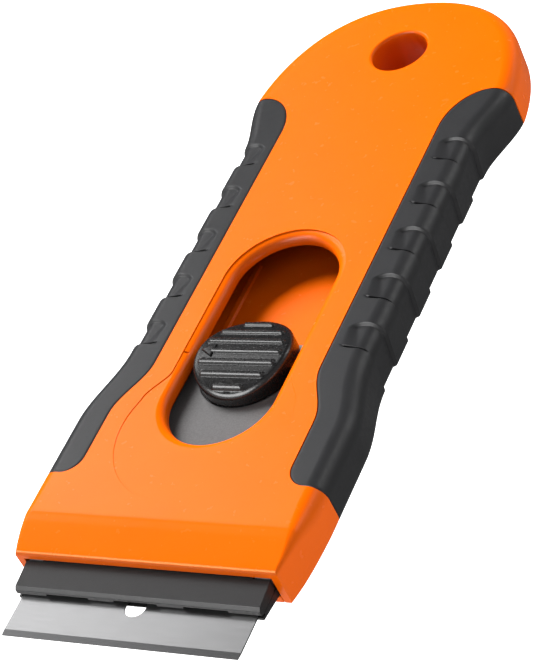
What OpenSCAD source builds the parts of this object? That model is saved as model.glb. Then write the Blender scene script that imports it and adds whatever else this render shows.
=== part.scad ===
// Retractable razor blade scraper with a flat two-shell handle and soft side grips.
// It lies on its underside: +Z up, the cutting edge towards -Y, the round tail towards +Y.
// The origin is on the underside, below the middle of the whole length.
// Inside the modules, y counts from the front lip of the handle towards the tail.

/* [Handle] */
// Length of the handle from the front lip to the tail
body_len = 124.4; // [112:0.2:140]
// Flank of the head beside the holder's bay
head_wall = 3.2; // [2.6:0.1:4.5]
// Flank of the lip beside the mouth
lip_wall = 1.2; // [0.9:0.1:2]
// Length over which the lip widens to the head
flare_len = 12; // [8:0.5:13]
// Sharpness of that widening
flare_power = 1.6; // [1.2:0.1:2]
// Length over which the head narrows to the waist
neck_len = 14.7; // [10:0.1:20]
// How much wider than the waist the tail is on each side
tail_bulge = 2.7; // [1:0.1:4]
// Length over which the waist widens to the tail
tail_neck = 13.6; // [9:0.2:18]
// Length of the round tail behind its widest place
tail_len = 24.8; // [20:0.2:30]
// Lean of the tail's flank
tail_lean = 1.2; // [0:0.1:2]
// Straightness of the tail's flank
tail_pull = 9; // [6:0.5:12]
// Bluntness of the tail's end
tail_blunt = 17; // [13:0.5:20]
// Length of the sloping facet behind the lip
facet_len = 6.6; // [5:0.2:8]
// How far the facet drops to the lip
facet_drop = 1.5; // [0.8:0.1:1.8]
// Thickness of the front lip
lip_t = 1.145; // [0.9:0.005:1.8]
// Depth of the solid lip over the mouth
lip_depth = 4; // [3:0.2:5]
// Rounding of the top edge along the flanks
top_round = 2.8; // [1.4:0.1:3.4]
// Rounding of the lip's top edge
lip_round = 0.6; // [0.2:0.1:0.8]
// Rounding of the bottom edge
bottom_round = 1.7; // [1:0.1:1.8]
// Side wall of the upper shell, inside the grip
side_wall = 1.8; // [1.4:0.1:2.4]
// Top wall of the upper shell
top_wall = 1.9; // [1.7:0.1:2.2]
// Thickness of the bottom cover
floor_t = 1.4; // [1.2:0.1:1.8]

/* [Hang hole] */
// Diameter of the hole in the tail
hang_d = 9.8; // [6:0.2:12]
// Distance from the tail's end to the centre of the hole
hang_edge = 14.5; // [13:0.1:18]
// Wall of the tube around the hole
hang_wall = 1.8; // [1.2:0.1:2.4]

/* [Side grips] */
// Thickness of the soft grip
grip_t = 1.1; // [0.8:0.1:1.2]
// Width of the grip on the top face, at the waist
grip_top_w = 7; // [6:0.1:8]
// Width of the grip on the top face, at the head
grip_head_w = 6.4; // [5.5:0.1:7.4]
// Front end of the grip, from the lip
grip_front = 14.4; // [12.5:0.2:17]
// Distance from the grip's rear end to the widest place of the tail
grip_rear_gap = 0.7; // [0:0.1:3]
// Radius of the grip's front corner
grip_corner = 3.4; // [2:0.2:5]
// Length of the grip's curved rear end
grip_tail = 9; // [6:0.2:10]
// Width of the grip's curved rear end
grip_tail_w = 7; // [5:0.2:9]
// Length over which the grip's inner edge steps in to the waist
grip_step = 10.7; // [8:0.1:13]
// Height of the hard rim below the grip
grip_sill = 0.45; // [0.3:0.05:0.8]
// Finger grooves on each grip
groove_n = 5; // [3:1:5]
// Distance between finger grooves
groove_pitch = 10.25; // [8:0.05:10.5]
// Length of a finger groove along the handle
groove_len = 5.4; // [3.5:0.1:6]
// Depth of a finger groove
groove_depth = 0.5; // [0.3:0.05:0.6]
// Centre of the first finger groove behind the start of the waist
groove_first = 3.6; // [2:0.2:6]
// Reach of the grooves over the top face, from the waist's edge
groove_reach = 4.6; // [3.6:0.1:5.4]
// Forward lean of the grooves down the flank, in degrees
groove_lean = 29; // [0:1:32]

/* [Thumb slot] */
// Width of the slot
slot_w = 18; // [16:0.1:21]
// Wall of the collar around the slot
collar_wall = 1.2; // [0.9:0.1:1.5]
// Margin of the sunk field around the slot
field_margin = 1.5; // [1.2:0.1:2]
// Width of the hard top face between the sunk field's round front and the grip
field_edge = 3.4; // [2.6:0.1:5]
// Centre of the round front behind the slot's front end
field_back = 2.45; // [1:0.05:4]
// Length over which the round front narrows to the slot's sides
field_neck = 7; // [5:0.5:9]
// Depth of the sunk field at its rear end
field_depth = 0.25; // [0.15:0.05:0.6]
// Depth of the sunk field at its front end
field_front_depth = 0.05; // [0.03:0.01:0.1]
// Width of the index tick beside the button
tick_w = 0.5; // [0.3:0.1:0.8]
// Depth of the index tick
tick_depth = 0.3; // [0.2:0.05:0.4]

/* [Blade] */
// Width of the blade along its cutting edge
blade_w = 40; // [34:0.1:46]
// Depth of the blade from the edge to its back
blade_depth = 19; // [17.4:0.2:21]
// Thickness of the blade
blade_t = 0.25; // [0.2:0.01:0.4]
// Reach of the cutting edge in front of the lip
blade_out = 12; // [10.5:0.1:14]
// Width of the ground bevel at the edge
bevel_w = 1.1; // [0.6:0.1:1.6]
// Diameter of the blade's centre hole
blade_hole_d = 3.5; // [2.5:0.1:4]
// Distance from the edge to the centre hole
blade_hole_back = 7; // [5:0.1:8]

/* [Blade holder] */
// Cheek of the holder beside the blade
cheek_w = 0.8; // [0.6:0.1:1.2]
// Reach of the jaws in front of the lip
jaw_out = 4.8; // [4:0.1:5.6]
// Thickness of the bed below the blade
bed_t = 1.125; // [1.05:0.025:1.4]
// Thickness of the bed's tip
bed_tip_t = 0.4; // [0.3:0.05:0.6]
// Height of the upper jaw's front edge
jaw_tip_t = 1.5; // [1.2:0.05:1.6]
// Chamfer below the upper jaw's front edge
jaw_undercut = 0.4; // [0.2:0.05:0.6]
// Height of that chamfer
jaw_chamfer = 0.3; // [0.2:0.05:0.4]
// Bevel along the top of the upper jaw's front edge
jaw_bevel = 0.15; // [0.05:0.05:0.3]
// Radius of the jaw's hinge barrel
barrel_r = 0.8; // [0.75:0.05:0.95]
// Height of the barrel's lowest line above the clamped blade
barrel_lift = 0.48; // [0.4:0.01:0.6]
// Hinge axis behind the lip
hinge_y = 1; // [0.9:0.05:1.2]
// Radius of the hinge pins
pin_r = 0.5; // [0.4:0.05:0.55]
// Length of a hinge pin
pin_len = 6.2; // [5:0.1:8]
// Width of the hinge ears
ear_w = 2.5; // [1.8:0.1:3]
// How far the ears stay in from the holder's ends
ear_in = 0.2; // [0.1:0.05:0.4]
// Width of the three notches in the jaw's front edge
notch_w = 7.2; // [5:0.1:8]
// Height of the notches
notch_h = 0.6; // [0.4:0.05:0.8]
// Depth of the notches
notch_d = 0.9; // [0.5:0.05:1.2]
// Distance between the notches
notch_pitch = 11.8; // [9:0.1:12.5]
// Thickness of the deck over the blade
deck_t = 1.725; // [1.6:0.025:2]
// Length of the deck and bed behind the blade
deck_back = 5.4; // [4.8:0.1:6]
// Cut of the deck's rear corners
deck_cut = 4; // [2:0.2:5]

/* [Slide] */
// Lap of the slide plate under each side of the slot
plate_lap = 1.1; // [0.8:0.1:1.2]
// Thickness of the slide plate
plate_t = 1.2; // [1.1:0.05:1.3]
// Radius of the slide plate's round tail below the button
plate_tail = 7.2; // [6.8:0.1:7.8]
// Width of the runners below the plate
runner_w = 1.2; // [0.8:0.1:1.4]
// Width of the guides on the floor
guide_w = 1.1; // [0.8:0.1:1.4]
// Travel towards the front, to change the blade
travel_front = 9; // [4:0.5:11]
// Travel towards the tail, to cover the blade
travel_back = 16.5; // [13:0.5:18]

/* [Button] */
// Centre of the button, from the lip
button_y = 39.5; // [37:0.1:43]
// Height of the button's arched top above the handle's top
button_rise = 0.3; // [0:0.05:0.8]
// Drop of the arched top from its middle to its front and rear
dome_drop = 1.7; // [1:0.05:1.9]
// Thickness of the button's roof at its ends
roof_t = 1; // [0.8:0.1:1.4]
// Wall of the button's skirt
skirt_wall = 1.3; // [1:0.1:1.6]
// How far the skirt dips into the slide's well
skirt_dip = 0.1; // [0.05:0.05:0.2]
// Ribs across the button
rib_n = 7; // [5:2:7]
// Distance between the ribs
rib_pitch = 2.17; // [1.6:0.01:2.2]
// Width of a rib
rib_w = 0.9; // [0.6:0.05:1]
// Height of a rib
rib_h = 0.35; // [0.2:0.05:0.45]
// Margin between the ribs' field and the button's edge
rib_margin = 1.1; // [0.8:0.1:1.5]
// Length of the arrow at the middle rib's left end
arrow_len = 1.9; // [1.4:0.1:2.4]
// Radius of the button's stem
stem_r = 2; // [1.6:0.1:2.4]
// Lip of the stem's snap-in foot
foot_lip = 0.5; // [0.3:0.05:0.6]
// Press of the button
press = 0.6; // [0.4:0.05:0.7]

/* [Lock spring] */
// Thickness of the steel leaf
leaf_t = 0.35; // [0.25:0.05:0.4]
// Width of the leaf
leaf_w = 6; // [5:0.5:7]
// Drop of the leaf from its seat to the button's stem
leaf_drop = 1; // [0.9:0.05:1.1]
// Length of the leaf's bend
leaf_bend = 4; // [3:0.5:5]
// Width of a lock tooth
tooth_w = 0.9; // [0.6:0.1:1.2]
// Length of a lock tooth along the handle
tooth_len = 2; // [1.4:0.1:2.4]
// Distance from the teeth to the rear end of the slide plate
tooth_in = 0.6; // [0.3:0.1:1]
// Distance between the slot's collar and the lock rail
rail_gap = 0.9; // [0.6:0.1:1.2]

/* [Fasteners] */
// Radius of the cover screws' shank
screw_r = 0.9; // [0.7:0.05:1.1]
// Radius of the cover screws' head
screw_head_r = 1.9; // [1.6:0.05:2.2]
// Height of the cover screws' head
screw_head_h = 0.7; // [0.5:0.05:0.8]
// Depth of the heads below the underside
screw_sink = 0.1; // [0.05:0.05:0.2]
// Width of the cross recess in a screw head
drive_w = 0.4; // [0.3:0.05:0.5]
// Depth of the cross recess
drive_depth = 0.4; // [0.2:0.05:0.4]
// Radius of the screw bosses
boss_r = 2.5; // [2.2:0.1:3]
// Distance of the front bosses behind the start of the waist
boss_front = 0.5; // [0:0.1:2]
// Distance of the rear bosses in front of the end of the waist
boss_rear = 1; // [0:0.5:8]
// Radius of the bed screws' shank
bed_screw_r = 0.7; // [0.5:0.05:0.8]
// Radius of the bed screws' head
bed_head_r = 1.3; // [1.1:0.05:1.5]
// Height of the bed screws' head
bed_head_h = 0.55; // [0.4:0.05:0.6]
// Distance of the bed screws from the middle plane
bed_screw_x = 13; // [12.5:0.5:14]
// Radius of the rivets that hold the lock spring
rivet_r = 0.8; // [0.6:0.05:1]
// Lip of a rivet's head
rivet_lip = 0.6; // [0.4:0.05:0.8]
// Height of a rivet's head
rivet_head_h = 0.5; // [0.3:0.05:0.6]
// Distance of the first rivet behind the deck
rivet_first = 4; // [3:0.5:5]
// Distance between the rivets
rivet_pitch = 3.5; // [3:0.1:4]
// Skin left over blind holes
blind_skin = 0.5; // [0.4:0.05:0.7]

/* [Clearances] */
// Running gap of the slide on the floor and in its guides
run_gap = 0.15; // [0.1:0.01:0.2]
// Gap between the slide plate and the slot's collar
collar_gap = 0.2; // [0.15:0.01:0.25]
// Gap between the holder and the mouth, at the sides and above
mouth_gap = 0.3; // [0.2:0.05:0.4]
// Gap between the clamped blade and what lies over and beside it
clamp_gap = 0.05; // [0.03:0.01:0.08]
// Gap between the jaw's barrel and the deck
deck_gap = 0.35; // [0.25:0.05:0.5]
// Spare room of the holder in its bay at the rear
bay_spare = 0.4; // [0.3:0.1:1]
// Gap between the button and the slot's sides
button_gap = 0.85; // [0.7:0.05:1.2]
// Gap between the button and the slot's ends at the ends of its travel
slot_spare = 0.55; // [0.4:0.05:1]
// Gap around and below the pressed button in the slide's well
well_gap = 0.2; // [0.15:0.05:0.3]
// Gap between the lock teeth and their notches
tooth_gap = 0.3; // [0.2:0.05:0.5]
// Gap between the screw bosses and their neighbours
boss_gap = 0.55; // [0.3:0.05:0.8]
// Seam around the bottom cover and its screws
cover_gap = 0.15; // [0.1:0.01:0.25]
// Gap between pieces that rest close together inside
rest_gap = 0.05; // [0.03:0.01:0.1]
// Radial gap of the hinge pins and of the button's stem
pin_gap = 0.03; // [0.02:0.01:0.06]

/* [Hidden] */
$fn = 48;
eps = 0.02;
through = 2 * body_len;

// Heights, from the floor up to the top face
bed_z = floor_t + run_gap;
blade_z = bed_z + bed_t;
clamp_z = blade_z + blade_t + clamp_gap;
hinge_z = clamp_z + barrel_lift + barrel_r;
mouth_z = hinge_z + barrel_r + mouth_gap;
body_t = mouth_z + lip_t + facet_drop;
ceiling_z = body_t - top_wall;
plate_z = clamp_z + deck_t;
plate_low_z = plate_z - plate_t;
collar_z = plate_z + collar_gap;
well_z = plate_z - skirt_dip - press - rest_gap;
leaf_z = plate_low_z - leaf_drop;
foot_z = leaf_z + leaf_t + rest_gap;
tooth_top = ceiling_z - 2 * tooth_gap;

// Places along the handle
button_r = slot_w / 2 - button_gap;
lip_y = (blade_out - body_len) / 2;
blade_back = blade_depth - blade_out;
deck_front = hinge_y + barrel_r + deck_gap;
deck_end = blade_back + deck_back;
deck_full = deck_end - deck_cut;
bed_screw_y = (blade_back + deck_end) / 2;
head_end = deck_full + travel_back + bay_spare;
waist_start = head_end + neck_len;
tail_start = body_len - tail_len;
waist_end = tail_start - tail_neck;
slot_front = button_y - button_r - travel_front - slot_spare;
slot_rear = button_y + button_r + travel_back + slot_spare;
plate_end = button_y + plate_tail;
tooth_y = plate_end - tooth_len - tooth_in;
runner_y = deck_end - runner_w;
rivet_y = [deck_end + rivet_first, deck_end + rivet_first + rivet_pitch];
leaf_start = rivet_y[0] - rivet_r - rivet_lip;
leaf_bend_y = rivet_y[1] + rivet_r + rivet_lip;
grip_rear = tail_start - grip_rear_gap;
boss_y = [waist_start + boss_front, waist_end - boss_rear];
hang_y = body_len - hang_edge;

// Half-widths, from the blade and the slot out to the flanks
holder_half = blade_w / 2 + cheek_w;
bay_half = holder_half + mouth_gap;
head_half = bay_half + head_wall;
lip_half = bay_half + lip_wall;
plate_half = slot_w / 2 + plate_lap;
collar_half = slot_w / 2 + collar_wall;
rail_in = collar_half + rail_gap;
tooth_out = rail_in + tooth_gap + tooth_w;
rail_out = tooth_out + tooth_gap;
boss_x = rail_out + boss_gap + boss_r;
shell_in = grip_t + side_wall;
waist_half = boss_x + boss_r + boss_gap + shell_in;
tail_half = waist_half + tail_bulge;
grip_in = waist_half - grip_top_w;
grip_in_head = head_half - grip_head_w;
groove_in = waist_half - groove_reach;
field_r = grip_in_head - field_edge;
barrel_half = holder_half - ear_in - ear_w - ear_in;

// Plan of the handle, right half, as [half-width, y] points from the lip's corner to the tail's end
function ease(t) = (1 - cos(180 * t)) / 2;
function mix(a, b, t) = a + (b - a) * t;
function flare(y) = mix(head_half, lip_half, pow(1 - y / flare_len, flare_power));
function bezier(a, b, c, d, t) =
    pow(1 - t, 3) * a + 3 * pow(1 - t, 2) * t * b + 3 * (1 - t) * t * t * c + pow(t, 3) * d;
tail_a = [tail_half, tail_start];
tail_b = [tail_half - tail_lean, tail_start + tail_pull];
tail_c = [tail_blunt, body_len];
tail_d = [0, body_len];
plan = concat(
    [for (t = [0 : 1 / 3 : 1.01]) [flare(facet_len * t), facet_len * t]],
    [for (t = [0.4, 1]) let (y = mix(facet_len, flare_len, t)) [flare(y), y]],
    [for (t = [0 : 0.2 : 1.01]) [mix(head_half, waist_half, ease(t)), mix(head_end, waist_start, t)]],
    [[waist_half, mix(waist_start, waist_end, 0.5)]],
    [for (t = [0 : 0.2 : 0.81]) [mix(waist_half, tail_half, ease(t)), mix(waist_end, tail_start, t)]],
    [for (t = [0 : 0.1 : 1.01]) bezier(tail_a, tail_b, tail_c, tail_d, t)]
);
last = len(plan) - 1;

// Inward direction at each point of the plan
function unit(v) = v / norm(v);
function inward(i) =
    i == last ? [0, -1] :
    let (d = plan[i + 1] - plan[max(i - 1, 0)]) unit([-d[1], d[0]]);
function shrunk(d) = [for (i = [0 : last]) plan[i] + d * inward(i)];
function mirrored(half) = concat(half, [for (i = [len(half) - 2 : -1 : 0]) [-half[i][0], half[i][1]]]);

// Top face: the facet falls to the lip, and the edge rounding grows from the lip to the flanks
function top_z(y) = body_t - (y < facet_len ? facet_drop * (1 - y / facet_len) : 0);
function edge_round(y) = lip_round + (top_round - lip_round) * ease(min(1, y / flare_len));

// One ring of the handle's skin: inset from the plan, at a height, for each point of the plan
function bottom_ring(inset, a) = [
    for (i = [0 : last])
        let (p = plan[i] + (inset + bottom_round * (1 - sin(a))) * inward(i))
        [p[0], max(p[1], 0), bottom_round * (1 - cos(a))]
];
function top_ring(inset, sink, a) = [
    for (i = [0 : last])
        let (r = edge_round(plan[i][1]), cut = r * (1 - cos(a)), p = plan[i] + (inset + cut) * inward(i))
        [p[0], i == 0 ? cut : p[1], top_z(plan[i][1]) - sink - r * (1 - sin(a))]
];
function both_sides(half) =
    concat(half, [for (i = [last - 1 : -1 : 0]) [-half[i][0], half[i][1], half[i][2]]]);

// Skin of the handle, moved in by inset on the flanks and down by sink on the top
module skin(inset = 0, sink = 0) {
    rings = concat(
        [for (a = [0, 45, 90]) both_sides(bottom_ring(inset, a))],
        [for (a = [0 : 22.5 : 90]) both_sides(top_ring(inset, sink, a))]
    );
    n = 2 * last + 1;
    top = (len(rings) - 1) * n;
    walls = [
        for (k = [0 : len(rings) - 2], j = [0 : n - 1])
            let (a = k * n + j, b = k * n + (j + 1) % n)
            each [[a, a + n, b + n], [a, b + n, b]]
    ];
    caps = [
        for (i = [0 : last - 1])
            let (r = i, l = n - 1 - i)
            each [
                [top + r, top + l, top + l - 1],
                if (i < last - 1) [top + r, top + l - 1, top + r + 1],
                [r, l - 1, l],
                if (i < last - 1) [r, r + 1, l - 1]
            ]
    ];
    polyhedron([for (ring = rings) each ring], concat(walls, caps), convexity = 6);
}

// Bar with round ends, standing on z = 0, from y = front to y = rear
module round_bar(w, front, rear, h) {
    for (y = [front + w / 2, rear - w / 2]) translate([0, y, 0]) cylinder(d = w, h = h);
    translate([-w / 2, front + w / 2, 0]) cube([w, rear - front - w, h]);
}

// Closed outline in the YZ plane, made as wide as w across X
module across(w, points) {
    translate([-w / 2, 0, 0]) rotate([90, 0, 90]) linear_extrude(w) polygon(points);
}

// Box that is centred across X
module bar(w, front, rear, low, high) {
    translate([-w / 2, front, low]) cube([w, rear - front, high - low]);
}

// The same thing on the right and on the left
module pair() {
    children();
    mirror([1, 0, 0]) children();
}

// Everything is drawn from the lip, and set in the middle of the whole length here
module placed(tint) {
    color(tint) translate([0, lip_y, 0]) children();
}

// Plan of one grip: round front corner, an ease to the waist, and a curved rear end
module grip_zone() {
    reach = 2 * max(head_half, tail_half);
    front_c = [grip_in_head + grip_corner, grip_front + grip_corner];
    points = concat(
        [for (a = [270 : -18 : 180]) front_c + grip_corner * [cos(a), sin(a)]],
        [for (t = [0 : 0.1 : 1.01])
            [mix(grip_in_head, grip_in, ease(t)), head_end + grip_step * (0.1 + t)]],
        [for (a = [180 : -15 : 90])
            [grip_in + grip_tail_w * (1 + cos(a)), grip_rear - grip_tail * (1 - sin(a))]],
        [[reach, grip_rear], [reach, grip_front]]
    );
    translate([0, 0, grip_sill]) linear_extrude(body_t) polygon(points);
}

// Finger grooves as slanting bars with a round inner end
module grooves() {
    w = groove_len * cos(groove_lean);
    for (k = [0 : groove_n - 1])
        translate([groove_in + w / 2, waist_start + groove_first + k * groove_pitch, body_t])
            rotate([-groove_lean, 0, 0]) translate([0, 0, -body_t * 2]) {
                cylinder(d = w, h = body_t * 3);
                translate([0, -w / 2, 0]) cube([waist_half, w, body_t * 3]);
            }
}

module grip() {
    difference() {
        intersection() {
            skin();
            grip_zone();
        }
        skin(grip_t, grip_t);
        difference() {
            grooves();
            skin(groove_depth, groove_depth);
        }
    }
}

// Plan of the hollow, with the straight bay in which the blade holder travels
module hollow_plan(gap) {
    polygon(mirrored([
        for (p = shrunk(shell_in + gap)) if (p[1] > lip_depth + gap) p
    ]));
    translate([-bay_half + gap, -1]) square([2 * (bay_half - gap), head_end + 1 - gap]);
}

// Sunk field around the slot, with a wide round front
module field() {
    centre_y = slot_front + field_back;
    half = slot_w / 2 + field_margin;
    rear_y = slot_rear - slot_w / 2;
    neck_a = 20;
    neck_y = centre_y + field_r * sin(neck_a);
    front_y = centre_y - field_r;
    neck_x = field_r * cos(neck_a);
    points = concat(
        [for (a = [-90 : 10 : neck_a]) [field_r * cos(a), centre_y + field_r * sin(a)]],
        [for (t = [0.2 : 0.2 : 1.01]) [mix(neck_x, half, ease(t)), neck_y + field_neck * t]],
        [for (a = [0 : 10 : 90]) [half * cos(a), rear_y + half * sin(a)]]
    );
    tilt = atan((field_depth - field_front_depth) / (rear_y + half - front_y));
    translate([0, front_y, body_t - field_front_depth]) rotate([-tilt, 0, 0]) translate([0, -front_y, 0])
        linear_extrude(body_t)
            polygon(concat(points, [for (i = [len(points) - 2 : -1 : 1]) [-points[i][0], points[i][1]]]));
}

module at_bosses() {
    for (y = boss_y) pair() translate([boss_x, y, 0]) children();
}

// Orange upper shell: top, flanks, mouth, slot collar, lock rails, screw bosses and hang tube
module upper_shell() placed("darkorange") difference() {
    union() {
        difference() {
            skin();
            pair() difference() {
                grip_zone();
                skin(grip_t, grip_t);
            }
            intersection() {
                translate([0, 0, -1]) linear_extrude(ceiling_z + 1) hollow_plan(0);
                translate([-through, lip_depth, -1]) cube([2 * through, body_len, 2 * body_t]);
            }
            bar(2 * bay_half, -1, lip_depth + 1, -1, mouth_z);
        }
        translate([0, 0, collar_z]) round_bar(
            2 * collar_half, slot_front - collar_wall, slot_rear + collar_wall, ceiling_z - collar_z + eps
        );
        pair() lock_rail();
        at_bosses() translate([0, 0, floor_t]) cylinder(r = boss_r, h = ceiling_z - floor_t + eps);
        translate([0, hang_y, 0]) cylinder(r = hang_d / 2 + hang_wall, h = ceiling_z + eps);
    }
    round_bar(slot_w, slot_front, slot_rear, body_t + 1);
    field();
    translate([0, hang_y, -1]) cylinder(d = hang_d, h = body_t + 2);
    at_bosses() cylinder(r = screw_r, h = ceiling_z - blind_skin);
    translate([-slot_w / 2 - field_margin, button_y - tick_w / 2, body_t - field_depth - tick_depth])
        cube([2 * field_margin, tick_w, body_t]);
}

// Rail beside the slot, with one notch for each place at which the slide locks
module lock_rail() {
    rail_len = 3 * tooth_len + travel_front + travel_back;
    difference() {
        translate([rail_in, tooth_y - travel_front - tooth_len, collar_z])
            cube([rail_out - rail_in, rail_len, ceiling_z - collar_z + eps]);
        for (move = [-travel_front, 0, travel_back])
            translate([rail_in - 1, tooth_y + move - tooth_gap, 0])
                cube([rail_out, tooth_len + 2 * tooth_gap, ceiling_z - tooth_gap]);
    }
}

// Orange bottom cover: the floor of the handle, with the two guides of the slide
module bottom_cover() placed("orange") difference() {
    union() {
        linear_extrude(floor_t) intersection() {
            hollow_plan(cover_gap);
            translate([-through, 0]) square([2 * through, body_len]);
        }
        pair() translate([plate_half + run_gap, deck_end + travel_back + bay_spare, floor_t - eps])
            cube([guide_w, slot_rear - deck_end - travel_back - bay_spare, leaf_z - floor_t - run_gap]);
    }
    translate([0, hang_y, -1]) cylinder(r = hang_d / 2 + hang_wall + cover_gap, h = through);
    at_bosses() {
        cylinder(r = screw_r + cover_gap, h = through);
        translate([0, 0, -1]) cylinder(r = screw_head_r + cover_gap, h = 1 + screw_sink + screw_head_h);
    }
}

module grip_right() placed("dimgray") grip();

module grip_left() placed("dimgray") mirror([1, 0, 0]) grip();

// Cross recess that a screwdriver fits, cut into a head from below
module cross_recess(head_r, high) {
    for (a = [0, 90]) rotate([0, 0, a])
        translate([-head_r * 0.6, -drive_w / 2, 0]) cube([head_r * 1.2, drive_w, high]);
}

// Four screws that hold the bottom cover to the bosses of the upper shell
module cover_screws() placed("silver") at_bosses() difference() {
    translate([0, 0, screw_sink]) {
        cylinder(r = screw_head_r, h = screw_head_h);
        cylinder(r = screw_r, h = ceiling_z - blind_skin - screw_sink - rest_gap);
    }
    cross_recess(screw_head_r, screw_sink + drive_depth);
}

// Outline of the deck and the bed from above, with cut rear corners
module deck_plan(front) {
    rear_half = holder_half - deck_cut;
    polygon([
        [-holder_half, front], [holder_half, front], [holder_half, deck_full], [rear_half, deck_end],
        [-rear_half, deck_end], [-holder_half, deck_full]
    ]);
}

module at_bed_screws() {
    pair() translate([bed_screw_x, bed_screw_y, 0]) children();
}

// Grey slide: the deck over the blade, the hinge ears, and the plate that carries the button
module slide_carriage() placed("gray") difference() {
    union() {
        translate([0, 0, clamp_z]) linear_extrude(deck_t) deck_plan(deck_front);
        bar(2 * plate_half, runner_y, button_y, plate_low_z, plate_z);
        translate([0, button_y, plate_low_z]) cylinder(r = plate_tail, h = plate_t);
        pair() translate([plate_half - runner_w, runner_y, bed_z])
            cube([runner_w, button_y - runner_y, plate_low_z - bed_z + eps]);
        pair() translate([holder_half - ear_in - ear_w, hinge_y, hinge_z]) {
            rotate([0, 90, 0]) cylinder(r = barrel_r, h = ear_w);
            translate([0, 0, -barrel_r])
                cube([ear_w, deck_front - hinge_y + eps, barrel_r + plate_z - hinge_z]);
        }
    }
    translate([0, button_y, well_z]) cylinder(r = button_r + well_gap, h = through);
    translate([0, button_y, 0]) cylinder(r = stem_r + pin_gap, h = through);
    at_bed_screws() cylinder(r = bed_screw_r, h = plate_z - blind_skin);
    for (y = rivet_y) translate([0, y, 0]) cylinder(r = rivet_r, h = plate_z - blind_skin);
    translate([-through, hinge_y, hinge_z]) rotate([0, 90, 0]) cylinder(r = pin_r, h = 2 * through);
}

// Dark bed below the blade, a wedge with a thin tip and a raised back under the deck
module blade_bed() placed("darkslategray") difference() {
    stop_y = blade_back + clamp_gap;
    union() {
        intersection() {
            across(2 * holder_half, [
                [-jaw_out, blade_z], [-jaw_out, blade_z - bed_tip_t], [0, bed_z], [deck_end, bed_z],
                [deck_end, clamp_z], [stop_y, clamp_z], [stop_y, blade_z]
            ]);
            linear_extrude(body_t) deck_plan(-jaw_out);
        }
        pair() translate([blade_w / 2 + clamp_gap, -jaw_out + cheek_w, blade_z - eps])
            cube([cheek_w - clamp_gap, stop_y + jaw_out - cheek_w, blade_t + eps]);
    }
    at_bed_screws() cylinder(r = bed_screw_r + rest_gap, h = through);
    at_bed_screws() cylinder(r = bed_head_r + rest_gap, h = bed_z + bed_head_h + rest_gap);
    translate([0, blade_hole_back - blade_out, 0]) cylinder(d = blade_hole_d + 1, h = through);
    pair() translate([plate_half - runner_w - rest_gap, runner_y - rest_gap, 0])
        cube([runner_w + 2 * rest_gap, deck_end, through]);
}

// Two screws that hold the bed under the deck
module bed_screws() placed("silver") at_bed_screws() difference() {
    translate([0, 0, bed_z + rest_gap]) {
        cylinder(r = bed_head_r, h = bed_head_h);
        cylinder(r = bed_screw_r, h = plate_z - blind_skin - bed_z - 2 * rest_gap);
    }
    cross_recess(bed_head_r, bed_z + rest_gap + drive_depth / 2);
}

// Steel blade with a ground edge and a round hole
module blade() placed("lightgray") difference() {
    across(blade_w, [
        [-blade_out, blade_z + blade_t / 2], [-blade_out + bevel_w, blade_z], [blade_back, blade_z],
        [blade_back, blade_z + blade_t], [-blade_out + bevel_w, blade_z + blade_t]
    ]);
    translate([0, blade_hole_back - blade_out, 0]) cylinder(d = blade_hole_d, h = through);
}

// Dark upper jaw: a flap with a bevelled, notched front edge and a hinge barrel under the lip
module upper_jaw() placed("darkslategray") {
    tip_z = clamp_z + jaw_tip_t;
    root_y = hinge_y - barrel_r / 10;
    difference() {
        union() {
            across(2 * holder_half, [
                [-jaw_out + jaw_undercut, clamp_z], [-jaw_out, clamp_z + jaw_chamfer],
                [-jaw_out, tip_z - jaw_bevel], [-jaw_out + jaw_bevel, tip_z],
                [root_y, hinge_z + barrel_r * 0.99], [root_y, hinge_z - barrel_r * 0.9],
                [-barrel_r, clamp_z]
            ]);
            translate([-barrel_half, hinge_y, hinge_z])
                rotate([0, 90, 0]) cylinder(r = barrel_r, h = 2 * barrel_half);
        }
        pair() translate([barrel_half, hinge_y - barrel_r - run_gap, 0]) cube(through);
        for (k = [-1 : 1]) translate([k * notch_pitch - notch_w / 2, -jaw_out - 1, 0])
            cube([notch_w, 1 + notch_d, clamp_z + notch_h]);
        pair() translate([holder_half - ear_in - pin_len - rest_gap, hinge_y, hinge_z])
            rotate([0, 90, 0]) cylinder(r = pin_r + pin_gap, h = through);
    }
}

// Two steel hinge pins, held in the ears and turning in the jaw's barrel
module jaw_pins() placed("silver") pair()
    translate([holder_half - ear_in - pin_len, hinge_y, hinge_z])
        rotate([0, 90, 0]) cylinder(r = pin_r, h = pin_len);

// Arched top of the button: everything below a cylinder that lies across the slot
module arch(top) {
    arch_r = (pow(button_r, 2) + pow(dome_drop, 2)) / (2 * dome_drop);
    translate([-button_r, 0, top - arch_r]) rotate([0, 90, 0])
        cylinder(r = arch_r, h = 2 * button_r, $fn = 144);
}

// Ribs across the button's arched top; the middle one ends in an arrow on the left
module button_ribs(top) {
    mid = (rib_n - 1) / 2;
    rib_end = button_r - rib_margin;
    arrow_x = arrow_len - rib_end;
    intersection() {
        arch(top + rib_h);
        translate([0, 0, top - dome_drop - rib_h]) linear_extrude(body_t) intersection() {
            circle(r = rib_end);
            union() {
                for (k = [-mid : mid])
                    translate([k == 0 ? arrow_x - rib_w / 2 : -button_r, k * rib_pitch - rib_w / 2])
                        square([2 * button_r, rib_w]);
                polygon([[-rib_end, 0], [arrow_x, rib_pitch / 2], [arrow_x, -rib_pitch / 2]]);
            }
        }
    }
}

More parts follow.
